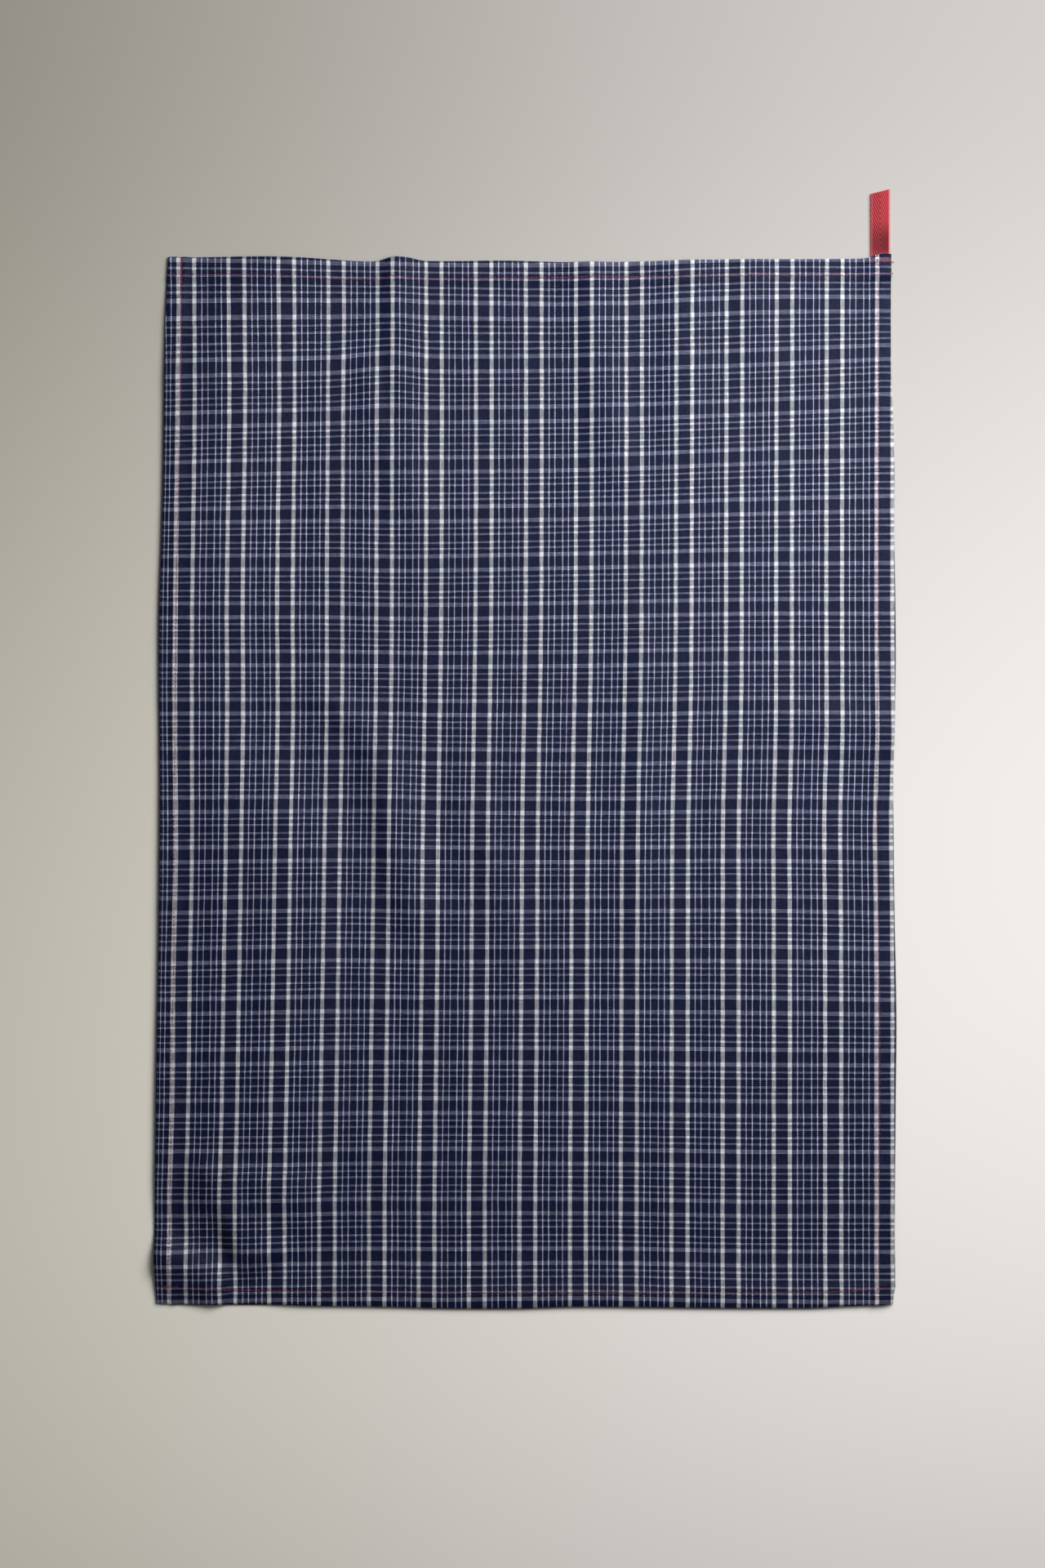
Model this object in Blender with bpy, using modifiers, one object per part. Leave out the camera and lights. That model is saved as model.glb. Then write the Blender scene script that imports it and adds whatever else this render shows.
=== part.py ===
"""Tea towel: one hemmed length of checked cotton lying face up, with a tape loop to hang it by.

Metres, +Z up. The towel lies on the plane Z = 0 with its width along X and its length along Y, and the
origin is the middle of the lying towel, loop included, on that plane.
"""

import math
from typing import NamedTuple

import bmesh
import bpy

MM = 0.001

# The lying outline. The cut cloth is about 500 x 700 mm once hemmed; as it lies, the weave has drifted
# and its sides wander by a few millimetres.
BOTTOM_LINE = -372.6
TOP_LINE = 326.8


class EdgePoint(NamedTuple):
    """One point of a wandering edge: how far along it lies and where the edge is there, in mm."""

    along: float
    at: float


# Each side edge is listed up the towel (along = Y, at = X).
LEFT_EDGE = (
    EdgePoint(along=-371, at=-246.4),
    EdgePoint(along=-350, at=-248.0),
    EdgePoint(along=-318, at=-247.2),
    EdgePoint(along=-271, at=-246.4),
    EdgePoint(along=-157, at=-244.6),
    EdgePoint(along=0, at=-243.3),
    EdgePoint(along=70, at=-243.5),
    EdgePoint(along=169, at=-241.3),
    EdgePoint(along=268, at=-239.4),
    EdgePoint(along=327, at=-237.6),
)
RIGHT_EDGE = (
    EdgePoint(along=-370, at=245.5),
    EdgePoint(along=-356, at=247.2),
    EdgePoint(along=-313, at=246.1),
    EdgePoint(along=-257, at=247.7),
    EdgePoint(along=-200, at=248.1),
    EdgePoint(along=-129, at=247.2),
    EdgePoint(along=-58, at=244.7),
    EdgePoint(along=-30, at=244.7),
    EdgePoint(along=0, at=245.9),
    EdgePoint(along=55, at=245.4),
    EdgePoint(along=112, at=244.9),
    EdgePoint(along=328, at=244.9),
)
# Each end edge is listed from left to right (along = X, at = Y).
BOTTOM_EDGE = (
    EdgePoint(along=-248, at=-370.0),
    EdgePoint(along=-238, at=-371.2),
    EdgePoint(along=-219, at=-373.1),
    EdgePoint(along=-200, at=-373.7),
    EdgePoint(along=-81, at=-373.4),
    EdgePoint(along=-30, at=-373.9),
    EdgePoint(along=37, at=-373.4),
    EdgePoint(along=148, at=-373.9),
    EdgePoint(along=220, at=-372.3),
    EdgePoint(along=239, at=-371.4),
    EdgePoint(along=247.5, at=-368.5),
)
TOP_EDGE = (
    EdgePoint(along=-238, at=327.2),
    EdgePoint(along=-160, at=328.1),
    EdgePoint(along=-127, at=326.1),
    EdgePoint(along=-101, at=324.6),
    EdgePoint(along=-87, at=328.4),
    EdgePoint(along=-79, at=327.0),
    EdgePoint(along=-62, at=325.8),
    EdgePoint(along=43, at=325.2),
    EdgePoint(along=122, at=326.8),
    EdgePoint(along=224, at=327.4),
    EdgePoint(along=232, at=328.9),
    EdgePoint(along=246, at=328.6),
)

# The cloth's own thickness, from its rolled outer edge through the folded hem to the single cloth.
HEM_THICKNESS = 2.0
FIELD_THICKNESS = 1.2
ROLLED_EDGE_THICKNESS = 1.1
ROLLED_EDGE = 1.5
HEM_STEP = 1.5
SIDE_HEM = 8.5
TOP_HEM = 11.0
BOTTOM_HEM = 13.0
FIELD_STEP = 14.0


class Fold(NamedTuple):
    """A soft ridge in the cloth, in mm: its crest line, its height and how far each flank reaches.

    The left flank lies to the left of the line that runs from the start to the end. Past both ends
    the ridge dies away, and widens as it does, over the fade.
    """

    name: str
    start_x: float
    start_y: float
    end_x: float
    end_y: float
    height: float
    left_reach: float
    right_reach: float
    fade: float


FOLDS = (
    Fold("top crease", -88, 225, -88, 345, 5.0, 27, 25, 70),
    Fold("top middle wave", 54, 250, 42, 350, 4.0, 33, 27, 80),
    Fold("top right wave", 112, 225, 108, 350, 3.0, 25, 27, 90),
    Fold("right shoulder", 160, 190, 166, 260, 2.2, 33, 33, 70),
    Fold("middle left fold", -88, -78, -108, 5, 4.2, 25, 33, 60),
    Fold("middle fold", -12, -110, -34, -35, 3.2, 25, 30, 50),
    Fold("middle right wave", 78, -80, 74, 70, 3.0, 30, 32, 80),
    Fold("packing fold, middle", -60, -19, 15, -17, 2.0, 28, 27, 50),
    Fold("packing fold, right", 190, 14, 265, 13, 3.0, 34, 30, 70),
    Fold("lower right swell", 190, -184, 275, -174, 3.0, 66, 48, 80),
    Fold("lower left swell", -262, -282, -150, -284, 4.0, 34, 36, 70),
    Fold("corner ridge", -165, -385, -202, -300, 4.0, 26, 32, 45),
    Fold("bottom swell", -80, -270, 70, -302, 3.0, 40, 46, 90),
    Fold("lifted corner", -240, -362, -230, -350, 3.5, 24, 24, 26),
)
# How much wider a ridge gets by the end of its fade, and how sharply crossing ridges stay apart.
FOLD_WIDENING = 0.6
FOLD_JOIN_POWER = 3.0
# The left side curls: it rises to a crest just inside its hem and comes down again on both sides.
CURL_HEIGHT = 2.6
CURL_CREST = 9.0
CURL_REACH = 24.0
CURL_END_TAPER = 40.0
CURL_LINE = 18.0

# The loop: a tape folded in two, its lower run flat, its upper run arched up so that a hook can enter.
TAPE_WIDTH = 13.0
TAPE_THICKNESS = 1.0
TAPE_CENTRE_X = 237.9
TAPE_HEM_LINE = 329.0
TAPE_TUCK = 10.0
PIECE_GAP = 0.3
TURN_RADIUS = 1.7
TURN_CENTRE = 41.2
ARCH_HEIGHT = 7.0
ARCH_FOOT = 2.0
ARCH_TOP_START = 20.0
ARCH_TOP_END = 27.0
TOP_SLANT = 3.3
TAPE_COLUMNS = 3
TAPE_STEP = 2.0
TURN_STEPS = 8

# Where the hem passes over the tape's ends, it is carried clear of both of its layers.
SEAT_MARGIN = 1.0
SEAT_SLOPE = 8.0


def smooth_step(share):
    """Ease from 0 to 1 with level ends."""
    held = min(max(share, 0.0), 1.0)
    return held * held * (3.0 - 2.0 * held)


def edge_at(edge, along):
    """Where a wandering edge lies at a distance along it, on a smooth curve through its points."""
    last = len(edge) - 1
    span = 0
    while span < last - 1 and along > edge[span + 1].along:
        span += 1
    before, start, end, after = (edge[min(max(index, 0), last)] for index in range(span - 1, span + 3))
    length = end.along - start.along
    share = min(max((along - start.along) / length, 0.0), 1.0)
    start_slope = (end.at - before.at) / (end.along - before.along)
    end_slope = (after.at - start.at) / (after.along - start.along)
    cube, square = share ** 3, share ** 2
    return (
        (2.0 * cube - 3.0 * square + 1.0) * start.at
        + (cube - 2.0 * square + share) * length * start_slope
        + (3.0 * square - 2.0 * cube) * end.at
        + (cube - square) * length * end_slope
    )


def fold_height(fold, x, y):
    """Height of one soft ridge above the plane at a point, in mm."""
    run_x, run_y = fold.end_x - fold.start_x, fold.end_y - fold.start_y
    length = math.hypot(run_x, run_y)
    along = ((x - fold.start_x) * run_x + (y - fold.start_y) * run_y) / length
    aside = (run_x * (y - fold.start_y) - run_y * (x - fold.start_x)) / length
    faded = min(max(-along, along - length, 0.0) / fold.fade, 1.0)
    reach = fold.left_reach if aside > 0.0 else fold.right_reach
    widened = reach * (1.0 + FOLD_WIDENING * faded)
    flank = 0.5 + 0.5 * math.cos(math.pi * min(abs(aside) / widened, 1.0))
    return fold.height * flank * smooth_step(1.0 - faded)


def curl_height(x, y):
    """Height of the left side's curl, which rises behind the hem and comes down to its outer edge."""
    inward = x - edge_at(LEFT_EDGE, y)
    if inward < CURL_CREST:
        rise = smooth_step(inward / CURL_CREST)
    else:
        rise = smooth_step(1.0 - (inward - CURL_CREST) / CURL_REACH)
    to_end = min(y - BOTTOM_LINE, TOP_LINE - y)
    return CURL_HEIGHT * rise * smooth_step(to_end / CURL_END_TAPER)


def seat_height(x, y):
    """Height of the hem's seat over the tape's two layers."""
    aside = TAPE_CENTRE_X - TAPE_WIDTH / 2.0 - SEAT_MARGIN - x
    below = TAPE_HEM_LINE - TAPE_TUCK - SEAT_MARGIN - y
    away = max(aside, below, 0.0)
    clear = 2.0 * TAPE_THICKNESS + 2.0 * PIECE_GAP
    return clear * smooth_step(1.0 - away / SEAT_SLOPE)


def underside_height(x, y):
    """Height of the cloth's underside: its folds run softly into each other and lie flat between."""
    rises = [fold_height(fold, x, y) for fold in FOLDS] + [curl_height(x, y)]
    joined = sum(rise ** FOLD_JOIN_POWER for rise in rises) ** (1.0 / FOLD_JOIN_POWER)
    return max(joined, seat_height(x, y))


def stations(length, from_start, from_end):
    """Distances along a side: the close lines at each end, and even steps in between."""
    first, last = from_start[-1], length - from_end[-1]
    count = round((last - first) / FIELD_STEP)
    between = [first + (last - first) * index / count for index in range(1, count)]
    return list(from_start) + between + [length - line for line in reversed(from_end)]


def hem_lines(depth, *more):
    """Lines of a hemmed side, from its outer edge: the rolled edge, the hem's end, and any further."""
    return (0.0, ROLLED_EDGE, depth, depth + HEM_STEP) + more


def cloth_thickness(from_sides, hem_depths):
    """Thickness of the cloth by its distance from each of the four sides."""
    thickness = FIELD_THICKNESS
    for distance, depth in zip(from_sides, hem_depths):
        if distance <= depth:
            thickness = HEM_THICKNESS
    if min(from_sides) <= 0.0:
        thickness = ROLLED_EDGE_THICKNESS
    return thickness


def make_material(name, color, roughness):
    """A Principled material of one cloth."""
    material = bpy.data.materials.new(name)
    material.use_nodes = True
    shader = material.node_tree.nodes["Principled BSDF"]
    shader.inputs["Base Color"].default_value = (*color, 1.0)
    shader.inputs["Roughness"].default_value = roughness
    shader.inputs["Metallic"].default_value = 0.0
    material.diffuse_color = (*color, 1.0)
    return material


def mesh_object(name, shape, collection, material):
    """Turn a bmesh into a smooth-shaded object in a collection."""
    mesh = bpy.data.meshes.new(name)
    shape.to_mesh(mesh)
    shape.free()
    mesh.materials.append(material)
    mesh.shade_smooth()
    obj = bpy.data.objects.new(name, mesh)
    collection.objects.link(obj)
    return obj


def grid_shape(columns, rows):
    """An open grid of faces, whose points come in rows from the bottom left."""
    shape = bmesh.new()
    shape.verts.layers.deform.new("weights")
    bmesh.ops.create_grid(shape, x_segments=columns - 1, y_segments=rows - 1, size=1.0)
    points = sorted(shape.verts, key=lambda point: (round(point.co.y, 5), round(point.co.x, 5)))
    return shape, [points[row * columns:(row + 1) * columns] for row in range(rows)]


def build_towel_cloth(collection):
    """The hemmed cloth: a sheet on its folds, thickened upwards, thicker where its hems are folded."""
    width = edge_at(RIGHT_EDGE, 0.0) - edge_at(LEFT_EDGE, 0.0)
    length = TOP_LINE - BOTTOM_LINE
    seat_side = edge_at(RIGHT_EDGE, TOP_LINE) - TAPE_CENTRE_X + TAPE_WIDTH / 2.0 + SEAT_MARGIN
    seat_depth = TAPE_TUCK + SEAT_MARGIN + SEAT_SLOPE
    right_lines = hem_lines(SIDE_HEM, seat_side, seat_side + SEAT_SLOPE)
    across = stations(width, hem_lines(SIDE_HEM, CURL_LINE), right_lines)
    upward = stations(length, hem_lines(BOTTOM_HEM), hem_lines(TOP_HEM, seat_depth))
    shape, rows = grid_shape(len(across), len(upward))
    weights = shape.verts.layers.deform.active
    hem_depths = (SIDE_HEM, SIDE_HEM, BOTTOM_HEM, TOP_HEM)
    for row, up in zip(rows, upward):
        line_y = BOTTOM_LINE + up
        left, right = edge_at(LEFT_EDGE, line_y), edge_at(RIGHT_EDGE, line_y)
        for point, over in zip(row, across):
            x = left + (right - left) * over / width
            low, high = edge_at(BOTTOM_EDGE, x), edge_at(TOP_EDGE, x)
            y = low + (high - low) * up / length
            point.co = (x * MM, y * MM, underside_height(x, y) * MM)
            thickness = cloth_thickness((over, width - over, up, length - up), hem_depths)
            point[weights][0] = thickness / HEM_THICKNESS
    color = (0.105, 0.118, 0.185)
    cloth = mesh_object("towel_cloth", shape, collection, make_material("checked cotton", color, 0.85))
    cloth.vertex_groups.new(name="thickness")
    body = cloth.modifiers.new("cloth thickness", "SOLIDIFY")
    body.thickness = HEM_THICKNESS * MM
    body.offset = 1.0
    body.vertex_group = "thickness"
    return cloth


def tape_side_line():
    """The tape seen from its side: its middle line as (y, z, share of the way to the loop's top)."""
    low = TAPE_THICKNESS / 2.0
    high = low + TAPE_THICKNESS + PIECE_GAP
    turn_top = low + 2.0 * TURN_RADIUS
    line = []
    count = round((TURN_CENTRE + TAPE_TUCK) / TAPE_STEP)
    ahead = [-TAPE_TUCK + (TURN_CENTRE + TAPE_TUCK) * index / count for index in range(count + 1)]
    for y in ahead:
        line.append((y, low))
    for step in range(1, TURN_STEPS):
        angle = math.pi * step / TURN_STEPS
        y = TURN_CENTRE + TURN_RADIUS * math.sin(angle)
        line.append((y, low + TURN_RADIUS * (1.0 - math.cos(angle))))
    for y in reversed(ahead):
        rise = smooth_step((y - ARCH_FOOT) / (ARCH_TOP_START - ARCH_FOOT))
        fall = smooth_step((y - ARCH_TOP_END) / (TURN_CENTRE - ARCH_TOP_END))
        line.append((y, high + (ARCH_HEIGHT - high) * rise - (ARCH_HEIGHT - turn_top) * fall))
    return line


def build_hanging_loop(collection):
    """The tape: a strip that runs out flat, turns over and comes back in an arch, its fold slanted."""
    line = tape_side_line()
    shape, rows = grid_shape(TAPE_COLUMNS + 1, len(line))
    for row, (y, z) in zip(rows, line):
        slant = TOP_SLANT * smooth_step(y / TURN_CENTRE)
        for index, point in enumerate(row):
            aside = index / TAPE_COLUMNS - 0.5
            x = TAPE_CENTRE_X + TAPE_WIDTH * aside
            point.co = (x * MM, (TAPE_HEM_LINE + y + slant * aside) * MM, z * MM)
    color = (0.49, 0.062, 0.078)
    tape = mesh_object("hanging_loop", shape, collection, make_material("red cotton tape", color, 0.8))
    body = tape.modifiers.new("tape thickness", "SOLIDIFY")
    body.thickness = TAPE_THICKNESS * MM
    body.offset = 0.0
    body.use_even_offset = True
    return tape


def main():
    """Clear the scene and build the towel's two pieces."""
    for obj in list(bpy.data.objects):
        bpy.data.objects.remove(obj, do_unlink=True)
    collection = bpy.data.collections.new("tea_towel")
    bpy.context.scene.collection.children.link(collection)
    build_towel_cloth(collection)
    build_hanging_loop(collection)


main()
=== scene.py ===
"""Tea towel, dressed: the hemmed check cloth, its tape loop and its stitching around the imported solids.

Metres, +Z up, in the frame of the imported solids. Sizes named here are in millimetres unless they say
otherwise, and MM turns them into metres.
"""

import logging
import math
from dataclasses import dataclass, field
from enum import Enum
from typing import Iterable, NamedTuple, Sequence

import bmesh
import bpy
from mathutils import Matrix, Vector, noise
from mathutils.bvhtree import BVHTree


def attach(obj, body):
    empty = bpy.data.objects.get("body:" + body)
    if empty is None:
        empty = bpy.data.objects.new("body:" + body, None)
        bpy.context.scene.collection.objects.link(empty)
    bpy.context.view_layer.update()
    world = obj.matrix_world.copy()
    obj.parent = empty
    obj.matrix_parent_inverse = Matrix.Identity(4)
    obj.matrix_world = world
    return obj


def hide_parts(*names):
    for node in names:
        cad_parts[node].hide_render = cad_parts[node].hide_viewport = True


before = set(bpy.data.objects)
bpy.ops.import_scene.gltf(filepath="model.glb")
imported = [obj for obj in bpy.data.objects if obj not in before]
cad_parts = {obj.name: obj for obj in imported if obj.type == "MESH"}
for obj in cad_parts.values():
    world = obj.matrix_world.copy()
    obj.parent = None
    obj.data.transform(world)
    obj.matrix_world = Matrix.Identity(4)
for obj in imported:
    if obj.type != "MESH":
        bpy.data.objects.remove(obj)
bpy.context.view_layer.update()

MM = 0.001
log = logging.getLogger("tea_towel")

Color = tuple[float, float, float]
Socket = bpy.types.NodeSocket
Node = bpy.types.Node
Object = bpy.types.Object
Shape = bmesh.types.BMesh
Point = bmesh.types.BMVert


# ----------------------------------------
# Small sums


def smooth_step(share: float) -> float:
    """Ease from 0 to 1 with level ends."""
    held = min(max(share, 0.0), 1.0)
    return held * held * (3.0 - 2.0 * held)


def hump(distance: float, reach: float) -> float:
    """A soft hump: 1 at no distance, 0 at the reach and past it."""
    return 0.5 + 0.5 * math.cos(math.pi * min(abs(distance) / reach, 1.0))


class EdgePoint(NamedTuple):
    """One point of a wandering line: how far along it lies and where the line is there, in mm."""

    along: float
    at: float


def wandering(*points: tuple[float, float]) -> tuple[EdgePoint, ...]:
    """A wandering line from its points, each as how far along and where."""
    return tuple(EdgePoint(*point) for point in points)


def line_at(line: Sequence[EdgePoint], along: float) -> float:
    """Where a wandering line lies, on a smooth curve through its points.

    Args:
        line: the line's points, in order.
        along: the distance along it.

    Returns:
        The line's place there; past either end it keeps the end's place.
    """
    last = len(line) - 1
    span = 0
    while span < last - 1 and along > line[span + 1].along:
        span += 1
    before, start, end, after = (line[min(max(index, 0), last)] for index in range(span - 1, span + 3))
    length = end.along - start.along
    share = min(max((along - start.along) / length, 0.0), 1.0)
    start_slope = (end.at - before.at) / (end.along - before.along)
    end_slope = (after.at - start.at) / (after.along - start.along)
    cube, square = share ** 3, share ** 2
    return (
        (2.0 * cube - 3.0 * square + 1.0) * start.at
        + (cube - 2.0 * square + share) * length * start_slope
        + (3.0 * square - 2.0 * cube) * end.at
        + (cube - square) * length * end_slope
    )


# ----------------------------------------
# How the cloth lies: the same outline and folds as its solid

# The two sides are listed up the towel (along = Y, at = X), the two ends from left to right.
LEFT_EDGE = wandering(
    (-371, -245.4), (-361, -246.3), (-342, -247.1), (-320, -246.8), (-241, -246.0), (-198, -245.4),
    (-154, -244.5), (-110, -243.9), (-23, -243.3), (53, -243.9), (97, -243.6), (140, -242.1),
    (184, -241.0), (271, -239.7), (309, -238.6), (327, -237.6),
)
RIGHT_EDGE = wandering(
    (-370, 246.4), (-361, 247.6), (-328, 247.5), (-241, 248.1), (-198, 248.5), (-154, 248.1),
    (-110, 247.3), (-67, 246.8), (-23, 246.6), (10, 247.4), (53, 248.1), (97, 247.9), (140, 247.2),
    (184, 247.3), (215, 246.6), (240, 245.5), (271, 245.0), (328, 245.0),
)
BOTTOM_EDGE = wandering(
    (-247, -369.2), (-241, -370.0), (-225, -370.8), (-162, -371.0), (-143, -371.6), (-99, -372.1),
    (-56, -373.2), (-5, -373.4), (32, -372.2), (75, -372.4), (119, -373.0), (190, -373.1),
    (206, -372.3), (228, -371.3), (240, -370.7), (248, -369.2),
)
TOP_EDGE = wandering(
    (-238, 328.4), (-175, 328.6), (-150, 328.1), (-132, 327.0), (-112, 325.8), (-98, 325.9),
    (-91, 327.8), (-86, 328.7), (-77, 328.1), (-66, 326.1), (-12, 326.3), (32, 325.2), (75, 325.7),
    (119, 326.9), (224, 327.6), (231, 328.2), (237, 330.0), (247, 330.2),
)
# The rows of stitching, listed like the edges that they follow.
LEFT_SEAM = wandering(
    (-368, -237.4), (-339, -237.2), (-307, -236.0), (-263, -235.8), (-192, -235.2), (-154, -233.8),
    (-45, -233.5), (10, -232.9), (70, -232.4), (119, -231.7), (184, -230.2), (250, -228.8),
    (282, -228.6), (328, -229.2),
)
RIGHT_SEAM = wandering(
    (-367, 236.6), (-300, 237.0), (-200, 237.4), (-30, 235.4), (60, 236.2), (180, 236.4), (326, 236.2),
)
BOTTOM_SEAM = wandering(
    (-246.5, -358.5), (-200, -360.6), (-100, -361.9), (100, -362.8), (200, -362.0), (246, -359.8),
)
TOP_SEAM = wandering(
    (-237, 316.6), (-180, 316.0), (-110, 313.6), (-86, 315.0), (-60, 313.8), (-23, 314.3), (100, 315.6),
    (200, 316.4), (245, 316.6),
)


class Fold(NamedTuple):
    """A soft ridge in the cloth, in mm: its crest line, its height and how far each flank reaches.

    The left flank lies to the left of the line that runs from the start to the end. Past both ends
    the ridge dies away, and widens as it does, over the fade.
    """

    name: str
    start_x: float
    start_y: float
    end_x: float
    end_y: float
    height: float
    left_reach: float
    right_reach: float
    fade: float

    def height_at(self, x: float, y: float, widening: float) -> float:
        """Height of the ridge above the plane at a point."""
        run_x, run_y = self.end_x - self.start_x, self.end_y - self.start_y
        length = math.hypot(run_x, run_y)
        along = ((x - self.start_x) * run_x + (y - self.start_y) * run_y) / length
        aside = (run_x * (y - self.start_y) - run_y * (x - self.start_x)) / length
        faded = min(max(-along, along - length, 0.0) / self.fade, 1.0)
        if faded >= 1.0:
            return 0.0
        reach = self.left_reach if aside > 0.0 else self.right_reach
        return self.height * hump(aside, reach * (1.0 + widening * faded)) * smooth_step(1.0 - faded)


FOLDS = (
    Fold("top left slope", -209, 250, -166, 337, 4.2, 46, 70, 45),
    Fold("top crease", -79, 168, -88, 345, 2.5, 15, 24, 45),
    Fold("top crease's lip", -87.5, 312, -87.5, 345, 3.4, 9, 22, 30),
    Fold("top crease's shoulder", -84, 172, -105, 250, 1.6, 14, 14, 20),
    Fold("top middle wave", 57, 205, 43, 335, 3.4, 22, 22, 45),
    Fold("top right wave", 108, 235, 106, 330, 1.6, 22, 25, 60),
    Fold("top far wave", 156, 262, 152, 330, 1.4, 18, 18, 40),
    Fold("left upper wave", -205, 84, -150, 81, 1.6, 18, 18, 30),
    Fold("left middle wave", -200, 39, -156, 42, 1.8, 16, 18, 26),
    Fold("left middle bend", -140, 40, -106, 12, 2.4, 20, 17, 18),
    Fold("middle left fold", -78, -105, -98, -2, 4.1, 19, 30, 25),
    Fold("middle fold", -14, -115, -26, -50, 1.8, 18, 22, 35),
    Fold("middle right wave", 77, -110, 78, 60, 2.2, 18, 20, 60),
    Fold("packing fold, right", 188, 20, 262, 8, 2.2, 22, 26, 50),
    Fold("lower right swell", 190, -184, 275, -174, 1.5, 60, 46, 70),
    Fold("left lower wave", -195, -133, -155, -130, 1.4, 14, 16, 25),
    Fold("left lowest wave", -185, -165, -140, -155, 1.6, 14, 16, 25),
    Fold("left corner wave", -202, -233, -175, -230, 1.6, 14, 14, 20),
    Fold("corner shoulder", -214, -282, -150, -294, 6.9, 24, 45, 20),
    Fold("corner ridge", -183, -341, -213, -279, 6.4, 17, 50, 14),
    Fold("lifted corner", -204, -356, -241, -337, 6.4, 27, 20, 13),
    Fold("bottom hem's rise", -150, -363, 232, -364, 1.8, 30, 22, 30),
    Fold("bottom swell", -122, -266, -85, -270, 1.3, 24, 20, 45),
)


@dataclass
class TapeSizes:
    """Sizes of the folded tape, which the cloth's hem also has to clear."""

    width: float = 13.0
    layer_room: float = 0.75
    gap: float = 0.15
    centre_x: float = 237.9
    hem_line: float = 329.0
    tuck: float = 10.0


class CurlShape(NamedTuple):
    """The left side's curl at one level, in mm: it rises to its crest and comes down over its reach."""

    height: float
    crest: float
    reach: float


@dataclass
class Lie:
    """How the cloth lies: its outline, its folds and the height of its underside."""

    bottom_line: float = -372.6
    top_line: float = 326.8
    fold_widening: float = 0.6
    fold_join_power: float = 3.0
    curl_upper: CurlShape = CurlShape(3.7, 25.0, 75.0)
    curl_lower: CurlShape = CurlShape(4.8, 82.0, 62.0)
    curl_change_start: float = 20.0
    curl_change_length: float = 90.0
    curl_edge: float = 0.4
    curl_top_end: float = 326.8
    curl_bottom_end: float = -332.0
    curl_end_taper: float = 50.0
    seat_margin: float = 1.0
    seat_slope: float = 8.0
    ripple_height: float = 0.45
    ripple_length: float = 26.0
    ripple_slice: float = 3.7
    fine_ripple: float = 2.7
    fine_share: float = 0.3
    tape: TapeSizes = field(default_factory=TapeSizes)

    @property
    def width(self) -> float:
        """Width across the middle."""
        return line_at(RIGHT_EDGE, 0.0) - line_at(LEFT_EDGE, 0.0)

    @property
    def length(self) -> float:
        """Length of the towel."""
        return self.top_line - self.bottom_line

    def point(self, over: float, up: float) -> tuple[float, float]:
        """The lying place of a point of the cloth.

        Args:
            over: the distance from the left side, across an even cloth.
            up: the distance from the bottom end, up an even cloth.

        Returns:
            Its x and y.
        """
        line_y = self.bottom_line + up
        left, right = line_at(LEFT_EDGE, line_y), line_at(RIGHT_EDGE, line_y)
        x = left + (right - left) * over / self.width
        low, high = line_at(BOTTOM_EDGE, x), line_at(TOP_EDGE, x)
        return x, low + (high - low) * up / self.length

    def curl(self, x: float, y: float) -> float:
        """Height of the left side's curl, whose upper shape gives way to its lower one."""
        inward = max(x - line_at(LEFT_EDGE, y), 0.0)
        lower = smooth_step((self.curl_change_start - y) / self.curl_change_length)
        shapes = zip(self.curl_upper, self.curl_lower)
        height, crest, reach = (above + (below - above) * lower for above, below in shapes)
        if inward < crest:
            rise = self.curl_edge + (1.0 - self.curl_edge) * math.sin(math.pi / 2.0 * inward / crest)
        else:
            rise = smooth_step(1.0 - (inward - crest) / reach)
        to_end = min(y - self.curl_bottom_end, self.curl_top_end - y)
        return height * rise * smooth_step(to_end / self.curl_end_taper)

    def seat(self, x: float, y: float) -> float:
        """Height of the hem's seat over the tape's two layers."""
        tape = self.tape
        aside = tape.centre_x - tape.width / 2.0 - self.seat_margin - x
        below = tape.hem_line - tape.tuck - self.seat_margin - y
        away = max(aside, below, 0.0)
        return 2.0 * (tape.layer_room + tape.gap) * smooth_step(1.0 - away / self.seat_slope)

    def ripple(self, x: float, y: float) -> float:
        """Height of the faint ripples that a washed cloth keeps between its folds."""
        place = Vector((x / self.ripple_length, y / self.ripple_length, self.ripple_slice))
        broad = 0.5 + 0.5 * noise.noise(place)
        fine = 0.5 + 0.5 * noise.noise(place * self.fine_ripple)
        return self.ripple_height * ((1.0 - self.fine_share) * broad ** 2 + self.fine_share * fine ** 2)

    def underside(self, x: float, y: float) -> float:
        """Height of the cloth's underside: its folds run softly into each other."""
        rises = [fold.height_at(x, y, self.fold_widening) for fold in FOLDS] + [self.curl(x, y)]
        power = self.fold_join_power
        joined = sum(rise ** power for rise in rises) ** (1.0 / power)
        return max(joined + self.ripple(x, y), self.seat(x, y))


# ----------------------------------------
# Where the threads run: the cloth is woven evenly and lies a few millimetres out of true


Followed = dict[float, tuple[EdgePoint, ...]]

# Six ends, by the X at which each would lie in true, with how far right of it they lie up the towel.
FOLLOWED_ENDS: Followed = {
    -236: wandering((-300, -2.6), (-240, -1), (-150, 0), (-70, 1.5), (50, 1), (240, 3.2), (320, 2.5)),
    -175: wandering(
        (-300, -3.6), (-240, -2.3), (-150, -0.7), (-50, 0.8), (30, 2), (100, 1.6), (230, 3.2), (320, 2.8),
    ),
    -110: wandering((-300, -3.9), (-150, -1.7), (-50, -0.4), (30, 0.8), (140, 1.2), (240, 1.6), (290, 2.1)),
    -50: wandering((-300, -4.1), (-150, -2.3), (-50, -1.6), (90, 0.4), (220, 0.8), (320, 0.6)),
    97: wandering((-300, -2.4), (-100, -2), (-50, -1.7), (50, 0.2), (150, 0.7), (320, 1)),
    238: wandering((-300, 1), (-120, 0.7), (-50, 0), (10, 1.3), (100, 0.9), (320, 1.2)),
}
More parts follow.
